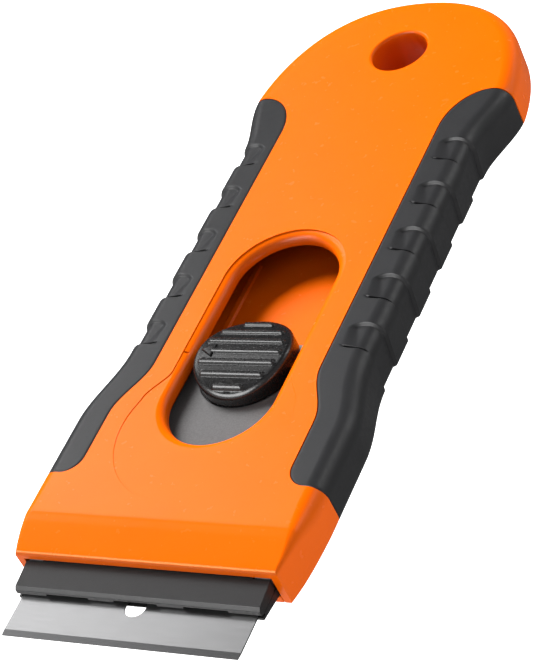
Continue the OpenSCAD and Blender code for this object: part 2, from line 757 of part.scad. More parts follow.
// Dark round button: arched ribbed top, a hollow skirt that dips into the slide's well, a stem
module slide_button() placed("darkslategray") translate([0, button_y, 0]) {
    top = body_t + button_rise;
    skirt_z = plate_z - skirt_dip;
    roof_z = top - dome_drop - roof_t;
    difference() {
        union() {
            intersection() {
                translate([0, 0, skirt_z]) cylinder(r = button_r, h = body_t, $fn = 96);
                arch(top);
            }
            button_ribs(top);
        }
        cylinder(r = button_r - skirt_wall, h = roof_z);
    }
    translate([0, 0, foot_z]) cylinder(r = stem_r, h = roof_z - foot_z + eps);
    translate([0, 0, foot_z]) cylinder(r = stem_r + foot_lip, h = plate_low_z - foot_z - 2 * rest_gap);
}

// Steel leaf below the slide: riveted at the front, pressed down by the stem, with two lock teeth
module lock_spring() placed("slategray") difference() {
    tail = tooth_y + tooth_len;
    low_y = leaf_bend_y + leaf_bend;
    union() {
        across(leaf_w, [
            [leaf_start, plate_low_z], [leaf_bend_y, plate_low_z],
            [low_y, leaf_z + leaf_t], [tail, leaf_z + leaf_t], [tail, leaf_z], [low_y, leaf_z],
            [leaf_bend_y, plate_low_z - leaf_t], [leaf_start, plate_low_z - leaf_t]
        ]);
        bar(2 * tooth_out, tooth_y, tail, leaf_z, leaf_z + leaf_t);
        pair() translate([tooth_out - tooth_w, tooth_y, leaf_z])
            cube([tooth_w, tooth_len, tooth_top - leaf_z]);
    }
    for (y = rivet_y) translate([0, y, 0]) cylinder(r = rivet_r, h = through);
}

// Two rivets that hold the lock spring under the slide
module lock_rivets() placed("silver") for (y = rivet_y)
    translate([0, y, plate_low_z - leaf_t - rivet_head_h]) {
        cylinder(r = rivet_r, h = rivet_head_h + leaf_t + plate_t - blind_skin);
        cylinder(r = rivet_r + rivet_lip, h = rivet_head_h);
    }

upper_shell();
bottom_cover();
grip_left();
grip_right();
cover_screws();
slide_carriage();
blade_bed();
bed_screws();
blade();
upper_jaw();
jaw_pins();
slide_button();
lock_spring();
lock_rivets();
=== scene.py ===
"""Retractable blade scraper: moulded shell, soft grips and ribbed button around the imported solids."""
import math

import bpy
import numpy as np
from mathutils import Matrix, Vector


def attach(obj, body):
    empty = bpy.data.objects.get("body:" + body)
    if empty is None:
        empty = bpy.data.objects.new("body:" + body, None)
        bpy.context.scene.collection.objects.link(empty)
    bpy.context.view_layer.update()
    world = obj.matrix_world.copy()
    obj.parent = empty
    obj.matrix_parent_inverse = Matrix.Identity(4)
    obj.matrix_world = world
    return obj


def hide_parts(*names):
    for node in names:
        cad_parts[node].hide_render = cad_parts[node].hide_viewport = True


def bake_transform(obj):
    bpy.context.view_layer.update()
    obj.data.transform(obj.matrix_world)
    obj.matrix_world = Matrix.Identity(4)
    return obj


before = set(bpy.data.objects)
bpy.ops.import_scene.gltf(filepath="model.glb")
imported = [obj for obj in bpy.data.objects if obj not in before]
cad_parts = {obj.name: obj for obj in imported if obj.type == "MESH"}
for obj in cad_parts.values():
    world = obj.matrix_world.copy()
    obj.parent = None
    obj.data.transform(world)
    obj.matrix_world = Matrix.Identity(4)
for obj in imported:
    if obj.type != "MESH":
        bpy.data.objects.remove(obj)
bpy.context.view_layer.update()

MM = 0.001
PAST = 1.0  # how far a cutter runs past the face that it cuts, in mm
WELD, SOLID_WELD = 2e-6, 1e-6  # points closer than this are one, in m

# Handle, in mm; distances along the handle count from the front lip
BODY_LEN, BODY_T = 124.4, 8.0
LIP_Y = -56.2
LIP_HALF, HEAD_HALF, WAIST_HALF, TAIL_HALF = 22.3, 24.3, 21.6, 24.3
FLARE_LEN, FLARE_POWER = 12.0, 1.6
HEAD_END, WAIST_START, WAIST_END, TAIL_START = 25.3, 40.0, 86.0, 99.6
TAIL_LEAN, TAIL_PULL, TAIL_BLUNT = 0.9, 9.8, 18.2
TAIL_POINTS, TAIL_TIP_POINTS = 61, 40
FACET_LEN, FACET_DROP, FACET_SOFT = 6.6, 1.5, 0.25
TOP_ROUND, LIP_ROUND = 2.8, 0.6
LIP_LOW_ROUND, HEAD_LOW_ROUND, WAIST_LOW_ROUND = 0.4, 1.6, 0.5
LIP_BAND = 6.0
SHELL_IN, CEILING, MOUTH_TOP, LIP_DEPTH, BAY_HALF, FLOOR_T = 2.9, 6.1, 5.355, 4.0, 21.1, 1.4
MOUTH_LAP = 0.5
HANG_Y, HANG_R, HANG_WALL, HANG_ROUND = 109.9, 4.9, 1.8, 0.6
BOSS_X, BOSS_Y, BOSS_R, SCREW_R, THREAD_END = 15.65, (40.5, 85.0), 2.5, 0.9, 0.5

# Thumb slot and the sunk field around it
SLOT_HALF, SLOT_FRONT, SLOT_REAR, SLOT_ROUND = 9.0, 21.8, 64.7, 1.6
FIELD_HALF, FIELD_R, FIELD_CENTRE, FIELD_NECK, FIELD_NECK_A = 10.5, 14.5, 24.25, 7.0, 20.0
FIELD_FRONT_DEPTH, FIELD_DEPTH = 0.05, 0.25
FIELD_WALL_IN, FIELD_WALL_OUT, FIELD_WALL_UP = 0.2, 0.5, 0.8
RAIL_IN, RAIL_OUT, RAIL_LOW, TOOTH_Y, TOOTH_LEN, TOOTH_GAP = 11.1, 12.6, 4.9, 44.1, 2.0, 0.3
LOCK_PLACES = (-9.0, 0.0, 16.5)
TICK_W, TICK_DEPTH, TICK_IN = 0.32, 0.3, 0.8

# Soft grips
GRIP_T, GRIP_IN, GRIP_IN_HEAD, GRIP_FRONT, GRIP_REAR = 1.1, 14.6, 17.9, 14.4, 98.9
GRIP_CORNER, GRIP_TAIL, GRIP_TAIL_W, GRIP_SILL = 3.4, 9.0, 7.0, 0.06
GRIP_STEP, GRIP_STEP_LATE = 10.7, 0.1
GROOVE_N, GROOVE_FIRST, GROOVE_PITCH, GROOVE_LEN = 5, 43.6, 10.25, 5.4
GROOVE_DEPTH, GROOVE_IN, GROOVE_LEAN, LEAN_END = 0.5, 16.2, 10.0, 0.6
GROOVE_FRONT_WALL, GROOVE_REAR_WALL = 0.16, 0.5
GROOVE_INNER_REAR, GROOVE_INNER_FRONT = 0.7, 3.2
CREASE_FROM, CREASE_W, CREASE_DEPTH, CREASE_END = 0.22, 0.42, 0.5, 0.9
GROOVE_HOOK, GROOVE_TURN = 0.4, 1.2
SEAM, GRIP_EDGE, GRIP_DIP, GRIP_BACK, GRIP_LEAST, SEAM_ROUND = 0.03, 0.35, 0.8, 1.0, 0.4, 0.06
EDGE_ROWS = np.array([0, 0.05, 0.12, 0.2, 0.3])
FRONT_WALL_ROWS, REAR_WALL_ROWS = np.arange(-0.08, 0.8, 0.04), np.arange(-0.12, 1.8, 0.1)
ROW_STEP, ROW_LEAST, SECTION_ROWS = 0.3, 0.03, 48

# Button
BUTTON_Y, BUTTON_R, BUTTON_TOP, BUTTON_DROP, BUTTON_LOW = 39.5, 8.15, 8.3, 1.7, 4.6
BUTTON_ROUND, BUTTON_SIDES, SKIRT_WALL, SKIRT_EASE, ROOF_T = 0.75, 120, 1.3, 0.15, 1.0
MIDDLE_R = 0.001
RIB_N, RIB_PITCH, RIB_W, RIB_END = 7, 2.17, 0.9, 7.05
RIB_STEPS = ((0.16, -0.5), (0.16, -0.02), (0.09, 0.03), (0.04, 0.1),
             (-0.05, 0.27), (-0.2, 0.42), (-0.4, 0.48))
ARROW_LEN, ARROW_HALF, ARROW_GAP, ARROW_LAP = 1.9, 1.25, 0.1, 0.25
ARROW_STEPS = (1.08, -0.5), (1.08, 0.0), (1.0, 0.2), (0.9, 0.31), (0.75, 0.35)
STEM_R, FOOT_R, FOOT_LOW, FOOT_HIGH, STEM_LAP = 2.0, 2.5, 2.9, 3.4, 0.3

# Lock spring: the bend that the button presses down
LEAF_FIXED, LEAF_FREE = -34.9, -30.9
GUIDE_ROOM = (9.9, 29.0, 1.8), (11.7, 65.0, 2.6)

# Blade and jaws
JAW_OUT, JAW_TIP_Z, JAW_BEVEL = 4.8, 4.475, 0.45
NOTCH_PITCH, NOTCH_W, NOTCH_IN, NOTCH_TOP = 11.8, 7.36, 2.2, 3.65
BLADE_OUT, BLADE_BEVEL, BLADE_LOW, BEVEL_BLUR = 12.0, 1.1, 2.675, 0.03
BED_FILL_HALF, BED_FILL_FRONT, BED_FILL_REAR, BED_FILL_LOW, BED_FILL_TOP = 2.6, 0.2, 2.4, 0.28, 0.12

# Floor: its gap under the handle, its glow, and a painted shadow: a dark round spot in the glow under the
# hang hole
FLOOR_GAP, FLOOR_SIZE = 0.05, 8000.0
FLOOR_GLOW, SHADOW_SPOT_GLOW, SHADOW_SPOT_R, SHADOW_SPOT_END = 1.9, 0.02, 5.5, 9.0

# Studio walls: middle direction, cosines between which each patch changes, and its light at both
STUDIO_WALLS = (
    ((0, 0, 1), -0.05, 0.2, 0.02, 1.0),
    ((-0.53, 0.5, 0.68), 0.4, 0.8, 0.55, 0.03),
    ((-0.55, -0.6, -0.58), 0.3, 0.9, 0.0, 1.3),
    ((0.515, 0.613, -0.59), 0.4, 0.9, 0.0, 0.14),
)

# Camera, as the photograph was taken
CAMERA_AT = (180.745, -213.582, 219.249)
CAMERA_AZ, CAMERA_EL, CAMERA_ROLL = 41.529, 38.139, -27.823
FOCAL_PX, FRAME_H, SENSOR = 2263.635, 662.0, 36.0


def ease(t):
    return (1 - np.cos(np.pi * np.clip(t, 0, 1))) / 2


def mix(a, b, t):
    return a + (b - a) * t


# Modelling helpers


def deselect():
    bpy.ops.object.select_all(action="DESELECT")


def activate(piece):
    deselect()
    piece.select_set(True)
    bpy.context.view_layer.objects.active = piece


def in_edit(piece, work):
    """Run work() in edit mode with everything selected."""
    activate(piece)
    bpy.ops.object.mode_set(mode="EDIT")
    bpy.ops.mesh.select_all(action="SELECT")
    work()
    bpy.ops.object.mode_set(mode="OBJECT")


def close_up(piece):
    """Merge what meets and turn all faces outwards."""

    def work():
        bpy.ops.mesh.remove_doubles(threshold=WELD)
        bpy.ops.mesh.normals_make_consistent(inside=False)

    in_edit(piece, work)


def sheet(name, rows):
    """A grid laid through rows of points, in mm, y from the lip."""
    rows = np.asarray(rows, float)
    n, m = rows.shape[:2]
    deselect()
    bpy.ops.mesh.primitive_grid_add(x_subdivisions=m - 1, y_subdivisions=n - 1, size=1)
    piece = bpy.context.object
    piece.name = name
    place = rows.reshape(-1, 3) + (0, LIP_Y, 0)
    piece.data.vertices.foreach_set("co", (place * MM).ravel())
    piece.data.update()
    return piece


def loft(name, rings):
    """Closed skin over a stack of closed rings; the first and last ring are filled."""
    rings = [np.asarray(r, float) for r in rings]
    piece = sheet(name, [np.vstack([r, r[:1]]) for r in rings])

    def work():
        bpy.ops.mesh.remove_doubles(threshold=WELD)
        bpy.ops.mesh.select_mode(type="EDGE")
        bpy.ops.mesh.select_all(action="DESELECT")
        bpy.ops.mesh.select_non_manifold(extend=False, use_boundary=True, use_wire=False,
                                         use_multi_face=False, use_non_contiguous=False, use_verts=False)
        bpy.ops.mesh.edge_face_add()
        bpy.ops.mesh.select_all(action="SELECT")
        bpy.ops.mesh.normals_make_consistent(inside=False)
        bpy.ops.mesh.select_mode(type="VERT")

    in_edit(piece, work)
    return piece


def at_height(outline, z):
    """Flat points lifted to one height, or each to its own."""
    return np.column_stack([outline, np.broadcast_to(z, len(outline))])


def prism(name, outline, low, high):
    return loft(name, [at_height(outline, low), at_height(outline, high)])


def block(name, low, high):
    """A box between two corners."""
    deselect()
    low, high = np.array(low, float), np.array(high, float)
    bpy.ops.mesh.primitive_cube_add(size=1)
    piece = bpy.context.object
    piece.name = name
    co = np.array([v.co for v in piece.data.vertices])
    place = (low + high) / 2 + (high - low) * co + (0, LIP_Y, 0)
    piece.data.vertices.foreach_set("co", (place * MM).ravel())
    return piece


def circle(radius, centre_y, count, centre_x=0.0):
    a = np.linspace(0, 2 * np.pi, count, endpoint=False)
    return np.column_stack([centre_x + radius * np.cos(a), centre_y + radius * np.sin(a)])


def stadium(half, front, rear, count):
    """Outline of a bar with round ends, front and rear being the ends' centres."""
    a = np.linspace(0, np.pi, count)
    back = np.column_stack([half * np.cos(a), rear + half * np.sin(a)])
    fore = np.column_stack([-half * np.cos(a), front - half * np.sin(a)])
    return np.vstack([back, fore])


def carve(piece, tool, how="DIFFERENCE"):
    change = piece.modifiers.new("carve", "BOOLEAN")
    change.operation, change.solver, change.object = how, "EXACT", tool
    activate(piece)
    bpy.ops.object.modifier_apply(modifier=change.name)
    bpy.data.objects.remove(tool)


def apply_modifier(piece, kind, **values):
    change = piece.modifiers.new(kind.lower(), kind)
    for key, value in values.items():
        setattr(change, key, value)
    activate(piece)
    bpy.ops.object.modifier_apply(modifier=change.name)


def smooth(piece, angle=32):
    activate(piece)
    bpy.ops.object.shade_smooth_by_angle(angle=math.radians(angle))
    apply_modifier(piece, "WEIGHTED_NORMAL", keep_sharp=True, weight=80)


def finish_piece(piece, body, slot, material, *nodes, flex=None):
    piece.data.materials.clear()
    piece.data.materials.append(material)
    if flex:
        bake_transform(piece)
    else:
        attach(piece, body)
    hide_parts(*nodes)


# Outline of the handle


def flare(y):
    return HEAD_HALF + (LIP_HALF - HEAD_HALF) * np.clip(1 - y / FLARE_LEN, 0, 1) ** FLARE_POWER


def tail_curve(t):
    a = np.array([TAIL_HALF, TAIL_START])
    b = np.array([TAIL_HALF - TAIL_LEAN, TAIL_START + TAIL_PULL])
    c, d = np.array([TAIL_BLUNT, BODY_LEN]), np.array([0.0, BODY_LEN])
    t = t[:, None]
    return (1 - t) ** 3 * a + 3 * (1 - t) ** 2 * t * b + 3 * (1 - t) * t * t * c + t ** 3 * d


def half_plan():
    """Right half of the outline as (half-width, y), from the lip's corner to the tail's end."""
    bend = FACET_LEN + FACET_SOFT * np.array([-1, 0, 1])
    behind = np.linspace(FLARE_LEN, HEAD_END, 8)[:-1]
    y = np.unique(np.concatenate([np.linspace(0, FLARE_LEN, 25), bend, behind]))
    head = np.column_stack([flare(y), y])
    t = np.linspace(0, 1, 31)
    neck = np.column_stack([mix(HEAD_HALF, WAIST_HALF, ease(t)), mix(HEAD_END, WAIST_START, t)])
    y = np.linspace(WAIST_START, WAIST_END, 24)[1:-1]
    waist = np.column_stack([np.full_like(y, WAIST_HALF), y])
    tail_neck = np.column_stack([mix(WAIST_HALF, TAIL_HALF, ease(t)), mix(WAIST_END, TAIL_START, t)])
    return np.vstack([head, neck, waist, tail_neck[:-1], tail_curve(np.linspace(0, 1, TAIL_POINTS))])


PLAN = half_plan()


def inward_normals(plan):
    d = np.gradient(plan, axis=0)
    d[0], d[-1] = plan[1] - plan[0], (-1.0, 0.0)
    n = np.column_stack([-d[:, 1], d[:, 0]])
    return n / np.linalg.norm(n, axis=1)[:, None]


INWARD = inward_normals(PLAN)


def top_z(y):
    """Top face: a facet falls to the lip, with a soft bend where it starts."""
    u, b = FACET_LEN - y, FACET_SOFT
    fall = np.where(u > b, u, np.where(u < -b, 0, (u + b) ** 2 / (4 * b)))
    return BODY_T - FACET_DROP / FACET_LEN * fall


def low_round(y):
    """Radius of the bottom edge: small at the lip and along the waist and tail, larger round the head."""
    head = mix(LIP_LOW_ROUND, HEAD_LOW_ROUND, ease(y / FLARE_LEN))
    return mix(head, WAIST_LOW_ROUND, ease((y - HEAD_END) / (WAIST_START - HEAD_END)))


def edge_round(y):
    return LIP_ROUND + (TOP_ROUND - LIP_ROUND) * ease(y / FLARE_LEN)


def drawn_back(y, cut):
    """Places along the flank, drawn back near the lip by the rounding of the lip's front edge."""
    return np.where(y < LIP_BAND, y + cut * (1 - y / LIP_BAND), y)


def both_sides(half):
    left = half[-2::-1].copy()
    left[:, 0] *= -1
    return np.vstack([half, left])


def skin_rings(inset=0.0, sink=0.0, arc=9, low_arc=6):
    rings, r = [], low_round(PLAN[:, 1])
    for a in np.radians(np.linspace(0, 90, low_arc)):
        p = PLAN + (inset + r * (1 - math.sin(a)))[:, None] * INWARD
        p[:, 1] = np.maximum(p[:, 1], 0)
        rings.append(both_sides(at_height(p, r * (1 - math.cos(a)))))
    for a in np.radians(np.linspace(0, 90, arc)):
        y = drawn_back(PLAN[:, 1], LIP_ROUND * (1 - math.cos(a)))
        base = PLAN.copy()
        near = PLAN[:, 1] < LIP_BAND
        base[near] = np.column_stack([flare(y), y])[near]
        r = edge_round(base[:, 1])
        p = base + (inset + r * (1 - math.cos(a)))[:, None] * INWARD
        p[near, 1] = y[near]
        rings.append(both_sides(at_height(p, top_z(base[:, 1]) - sink - r * (1 - math.sin(a)))))
    return rings


def skin(name, inset=0.0, sink=0.0, arc=9, foot=0.0):
    """Whole outside of the handle, closed along its middle plane; a foot runs on below it."""
    rings = skin_rings(inset, sink, arc)
    if foot:
        rings.insert(0, rings[0] - (0, 0, foot))
    middle = np.array([0, 1, 1])
    rings = [rings[0] * middle] + rings + [rings[-1] * middle]
    piece = sheet(name, [np.vstack([r, r[:1]]) for r in rings])
    close_up(piece)

    def work():
        bpy.ops.mesh.dissolve_degenerate(threshold=SOLID_WELD)

    in_edit(piece, work)
    return piece


# Soft grips


def grip_edge_x(y, off=0.0):
    """Inner edge of the right grip on the top face, moved into the grip by off."""
    front, rear = GRIP_FRONT + off, GRIP_REAR - off
    r = GRIP_CORNER - off
    corner = GRIP_IN_HEAD + GRIP_CORNER - np.sqrt(np.clip(r ** 2 - (front + r - y) ** 2, 0, None))
    along = mix(GRIP_IN_HEAD, GRIP_IN, ease((y - HEAD_END) / GRIP_STEP - GRIP_STEP_LATE)) + off
    a, b = GRIP_TAIL_W - off, GRIP_TAIL - off
    end = GRIP_IN + GRIP_TAIL_W - a * np.sqrt(np.clip(1 - (1 - (rear - y) / b) ** 2, 0, None))
    return np.where(y < front + r, corner, np.where(y > rear - b, np.maximum(end, along), along))


def groove_places():
    return GROOVE_FIRST + GROOVE_PITCH * np.arange(GROOVE_N)


def grip_rows(off):
    """Places of the grip's cross rows, close together at both ends and at the grooves' walls."""
    front, rear = GRIP_FRONT + off, GRIP_REAR - off
    fore = front + GRIP_CORNER * (1 - np.cos(np.linspace(0, np.pi / 2, 16)))
    back = rear - GRIP_TAIL * (1 - np.sin(np.linspace(0, np.pi / 2, 34)))
    body = np.arange(front + GRIP_CORNER, rear - GRIP_TAIL, ROW_STEP)
    half = GROOVE_LEN / 2
    walls = np.concatenate([FRONT_WALL_ROWS - half, half - REAR_WALL_ROWS])
    walls = (groove_places()[:, None] + walls).ravel()
    y = np.concatenate([front + EDGE_ROWS, fore, body, walls, back, rear - EDGE_ROWS])
    y = np.unique(np.round(y, 3))
    return y[np.concatenate([[True], np.diff(y) > ROW_LEAST])]


def row_lean(y):
    """Forward lean of the cross rows: that of the grooves between them, none at the grip's ends."""
    first, last = groove_places()[[0, -1]]
    rise = ease((y - GRIP_FRONT - GRIP_CORNER) / (first - GROOVE_LEN - GRIP_FRONT - GRIP_CORNER))
    fall = ease((GRIP_REAR - y) / (GRIP_REAR - last - LEAN_END * GROOVE_LEN))
    return math.tan(math.radians(GROOVE_LEAN)) * np.minimum(rise, fall)


def flank_at(y):
    """Point of the outline and its inward direction at a distance from the lip."""
    upto = len(PLAN) - TAIL_TIP_POINTS
    w = np.interp(y, PLAN[:upto, 1], PLAN[:upto, 0])
    n = np.stack([np.interp(y, PLAN[:upto, 1], INWARD[:upto, k]) for k in (0, 1)], axis=-1)
    return w, n / np.linalg.norm(n, axis=-1)[..., None]


def section_turns(r):
    """Angle of the sill on a bottom edge of radius r, and where the section leaves edge and flank."""
    sill = np.arccos(1 - GRIP_SILL / r)
    low_arc = r * (np.pi / 2 - sill)
    return sill, low_arc, low_arc + BODY_T - TOP_ROUND - r


def across_section(q, r):
    """Inset, height and outward direction (sideways, up) at a distance q up the section from its sill."""
    sill, low_arc, flank_end = section_turns(r)
    low = sill + q / r
    turn = np.clip((q - flank_end) / TOP_ROUND, 0, math.pi / 2)
    inset = np.where(q < low_arc, r * (1 - np.sin(low)), TOP_ROUND * (1 - np.cos(turn)))
    inset = inset + np.clip(q - flank_end - TOP_ROUND * math.pi / 2, 0, None)
    z = np.where(q < low_arc, r * (1 - np.cos(low)), r + np.clip(q - low_arc, 0, flank_end - low_arc))
    z = z + TOP_ROUND * np.sin(turn)
    side = np.where(q < low_arc, np.sin(low), np.cos(turn))
    up = np.where(q < low_arc, -np.cos(low), np.sin(turn))
    return inset, z, side, up


def step(t):
    t = np.clip(t, 0, 1)
    return t * t * (3 - 2 * t)


def groove_depth(x, y, z):
    """Depth of the finger grooves: creased front wall, soft rear wall that turns in, gentle inner end."""
    along = y + (BODY_T - z) * math.tan(math.radians(GROOVE_LEAN))
    out = x - GROOVE_IN
    deep = np.zeros_like(x)
    high = np.clip(1 - (BODY_T - z) / CREASE_END, 0, 1) * step(out / GROOVE_INNER_REAR)
    for place in groove_places():
        v = along - place
        fore = v + GROOVE_LEN / 2 - GROOVE_HOOK * (1 - np.clip(out / (2 * GROOVE_HOOK), 0, 1)) ** 2
        back = GROOVE_LEN / 2 - v - GROOVE_TURN * (1 - np.clip(out / (2 * GROOVE_TURN), 0, 1)) ** 2
        walls = step(fore / GROOVE_FRONT_WALL) * step(back / GROOVE_REAR_WALL)
        inner = mix(GROOVE_INNER_FRONT, GROOVE_INNER_REAR, np.clip(v / GROOVE_LEN + 0.5, 0, 1))
        crease = np.clip(1.5 - 3 * np.abs((fore - CREASE_FROM) / CREASE_W - 0.5), 0, 1) * high
        deep = np.maximum(deep, GROOVE_DEPTH * walls * step(out / inner) + CREASE_DEPTH * crease)
    return deep


def row_radius(y):
    """Radius of the bottom edge where each leaning cross row meets it."""
    return low_round(y - row_lean(y) * BODY_T)


def section_reach(y):
    """Distance up each cross row's section from the sill to the grip's inner edge."""
    w, n = flank_at(y)
    d = w - grip_edge_x(y, SEAM)
    for _ in range(6):
        d = (w - grip_edge_x(y + n[:, 1] * d, SEAM)) / -n[:, 0]
    d = np.maximum(d, GRIP_LEAST)
    past_round = TOP_ROUND * np.pi / 2 + d - TOP_ROUND
    on_round = TOP_ROUND * np.arccos(np.clip(1 - d / TOP_ROUND, -1, 1))
    return section_turns(row_radius(y))[2] + np.where(d >= TOP_ROUND, past_round, on_round)


def section_places(reach):
    """Places up each section, close together at the sill and at the inner edge."""
    edge = EDGE_ROWS[-1]
    t = np.linspace(0, 1, SECTION_ROWS)[1:-1]
    middle = (reach - edge)[:, None] * (1 - t) + edge * t
    return np.hstack([reach[:, None] - EDGE_ROWS, middle, np.tile(EDGE_ROWS[::-1], (len(reach), 1))])


def grip_skin():
    """Outside of the right grip: rows of points with rounded edges and finger grooves."""
    rows = grip_rows(SEAM)
    reach = section_reach(rows)
    q = section_places(reach)
    inset, z, out, up = across_section(q, row_radius(rows)[:, None])
    base = rows[:, None] - row_lean(rows)[:, None] * (BODY_T - z)
    w, n = flank_at(base)
    x = w + n[..., 0] * inset
    y = base + n[..., 1] * inset
    ends = np.minimum(y - GRIP_FRONT - SEAM, GRIP_REAR - SEAM - y)
    edge = np.clip(np.minimum(reach[:, None] - q, ends), 0, GRIP_EDGE)
    dip = GRIP_DIP * (GRIP_EDGE - np.sqrt(GRIP_EDGE ** 2 - (GRIP_EDGE - edge) ** 2))
    groove = groove_depth(x, y, z)
    inwards = out * dip + np.where(up < 0, 1, out) * groove
    x = x + n[..., 0] * inwards
    y = y + n[..., 1] * inwards
    z = z - up * dip - np.maximum(up, 0) * groove
    return np.dstack([x, y, z])


def grip(name, side, material):
    piece = sheet(name, grip_skin() * (side, 1, 1))
    if side < 0:
        in_edit(piece, lambda: bpy.ops.mesh.flip_normals())
    apply_modifier(piece, "SOLIDIFY", thickness=GRIP_BACK * MM, offset=-1, use_even_offset=False)
    smooth(piece, 50)
    finish_piece(piece, "handle", "soft_grip", material, "grip_right" if side > 0 else "grip_left")
    return piece


# Shell


def grip_pocket(side):
    """The room that a grip fills: the grip's outline down to the bottom edge, outside the inner skin."""
    y = np.concatenate([GRIP_FRONT + GRIP_CORNER * (1 - np.cos(np.linspace(0, np.pi / 2, 14))),
                        np.linspace(GRIP_FRONT + GRIP_CORNER, GRIP_REAR - GRIP_TAIL, 70)[1:-1],
                        GRIP_REAR - GRIP_TAIL * (1 - np.sin(np.linspace(0, np.pi / 2, 24)))])
    far = 2 * TAIL_HALF

    def outline(off):
        yo = np.clip(y, GRIP_FRONT + off, GRIP_REAR - off)
        edge = np.column_stack([grip_edge_x(yo, off), yo])
        return np.vstack([edge, [[far, GRIP_REAR - off], [far, GRIP_FRONT + off]]]) * (side, 1)

    rim = flared_rim(SEAM_ROUND, 6)
    rings = [at_height(outline(-out), BODY_T - drop) for out, drop in rim]
    low, high = at_height(outline(0), -PAST), at_height(outline(-rim[-1][0]), BODY_T + PAST)
    room = loft("room", [low] + rings + [high])
    carve(room, skin("inner", GRIP_T, GRIP_T, 7, foot=2.0))
    return room


def hollow():
    """Space inside the shell, less the bosses, the lock rails and the hang tube."""
    p = PLAN + SHELL_IN * INWARD
    p = p[p[:, 1] > LIP_DEPTH]
    half = np.vstack([[[BAY_HALF, LIP_DEPTH], [BAY_HALF, HEAD_END]], p[p[:, 1] > HEAD_END]])
    outline = np.vstack([half, (half * (-1, 1))[-2::-1]])
    space = prism("hollow", outline, -PAST, CEILING)
    carve(space, prism("tube", circle(HANG_R + HANG_WALL, HANG_Y, 64), -2 * PAST, CEILING + PAST))
    for x in (-BOSS_X, BOSS_X):
        for y in BOSS_Y:
            carve(space, prism("boss", circle(BOSS_R, y, 32, x), FLOOR_T, CEILING + PAST))
        carve(space, lock_rail(math.copysign(1, x)))
    mouth = block("mouth", (-BAY_HALF, -PAST, -PAST), (BAY_HALF, LIP_DEPTH + MOUTH_LAP, MOUTH_TOP))
    carve(space, mouth, "UNION")
    return space


def lock_rail(side):
    """Rail beside the slot with a notch for each place where the slide locks."""
    near, far = sorted((side * RAIL_IN, side * RAIL_OUT))
    start, end = TOOTH_Y + LOCK_PLACES[0] - TOOTH_LEN, TOOTH_Y + LOCK_PLACES[-1] + 2 * TOOTH_LEN
    rail = block("rail", (near, start, RAIL_LOW), (far, end, CEILING + PAST))
    for move in LOCK_PLACES:
        y = TOOTH_Y + move
        low = near - PAST, y - TOOTH_GAP, 0
        high = far + PAST, y + TOOTH_LEN + TOOTH_GAP, CEILING - TOOTH_GAP
        carve(rail, block("notch", low, high))
    return rail


def field_outline(off):
    """Outline of the sunk field: a wide round front that narrows to the slot's sides."""
    a = np.radians(np.linspace(-89, FIELD_NECK_A, 60))
    r = FIELD_R + off
    front = np.column_stack([r * np.cos(a), FIELD_CENTRE + r * np.sin(a)])
    t = np.linspace(0, 1, 16)[1:]
    neck = np.column_stack([mix(front[-1, 0], FIELD_HALF + off, ease(t)), front[-1, 1] + FIELD_NECK * t])
    a = np.radians(np.linspace(0, 89, 50))
    rear = np.column_stack([np.cos(a), np.sin(a)]) * (FIELD_HALF + off) + (0, SLOT_REAR - SLOT_HALF)
    half = np.vstack([front, neck, rear])
    return np.vstack([half, (half * (-1, 1))[::-1]])


def field_z(y):
    front, rear = FIELD_CENTRE - FIELD_R, SLOT_REAR - SLOT_HALF + FIELD_HALF
    return BODY_T - mix(FIELD_FRONT_DEPTH, FIELD_DEPTH, (y - front) / (rear - front))


def field():
    """Cutter of the sunk field: a tilted floor and a slanted wall."""
    low, high = field_outline(-FIELD_WALL_IN), field_outline(FIELD_WALL_OUT)
    floor = at_height(low, field_z(low[:, 1]))
    above = at_height(high, field_z(high[:, 1]) + FIELD_WALL_UP)
    return loft("field", [floor, above])


def flared_rim(radius, steps=9, last=80.0, over=0.3):
    """Steps of a rounded rim as (outward, drop); the last one runs on past the face."""
    steps = [(radius * (1 - math.cos(a)), radius * (1 - math.sin(a)))
             for a in np.radians(np.linspace(0, last, steps))]
    a = math.radians(last)
    return steps + [(steps[-1][0] + over * math.sin(a), steps[-1][1] - over * math.cos(a))]


def slot():
    """Thumb slot with a rounded rim that follows the sunk field."""
    ring = lambda off: stadium(SLOT_HALF + off, SLOT_FRONT + SLOT_HALF, SLOT_REAR - SLOT_HALF, 48)
    rings = [at_height(ring(0), -2 * PAST)]
    for out, drop in flared_rim(SLOT_ROUND):
        p = ring(out)
        rings.append(at_height(p, field_z(p[:, 1]) - drop))
    rings.append(rings[-1] + (0, 0, 2 * PAST))
    return loft("slot", rings)


def index_tick():
    """Short cut across the slot's left rim, beside the button's middle."""
    low = -FIELD_HALF, BUTTON_Y - TICK_W / 2, field_z(BUTTON_Y) - TICK_DEPTH
    high = TICK_IN - SLOT_HALF, BUTTON_Y + TICK_W / 2, BODY_T + PAST
    return block("tick", low, high)


def hang_hole():
    """Round hole with a rounded rim at both ends."""
    ring = lambda off, z: at_height(circle(HANG_R + off, HANG_Y, 72), z)
    rim = flared_rim(HANG_ROUND, 7)
    low = [ring(out, drop) for out, drop in rim[::-1]]
    high = [ring(out, BODY_T - drop) for out, drop in rim]
    return loft("hole", [low[0] - (0, 0, PAST)] + low + high + [high[-1] + (0, 0, PAST)])


def shell(material):
    piece = skin("shell", arc=12)
    for side in (1, -1):
        carve(piece, grip_pocket(side))
    carve(piece, hollow())
    carve(piece, field())
    carve(piece, slot())
    carve(piece, index_tick())
    carve(piece, hang_hole())
    for x in (-BOSS_X, BOSS_X):
        for y in BOSS_Y:
            carve(piece, prism("thread", circle(SCREW_R, y, 24, x), -PAST, CEILING - THREAD_END))
    close_up(piece)
    smooth(piece)
    finish_piece(piece, "handle", "orange_plastic", material, "upper_shell")
    return piece


# Button


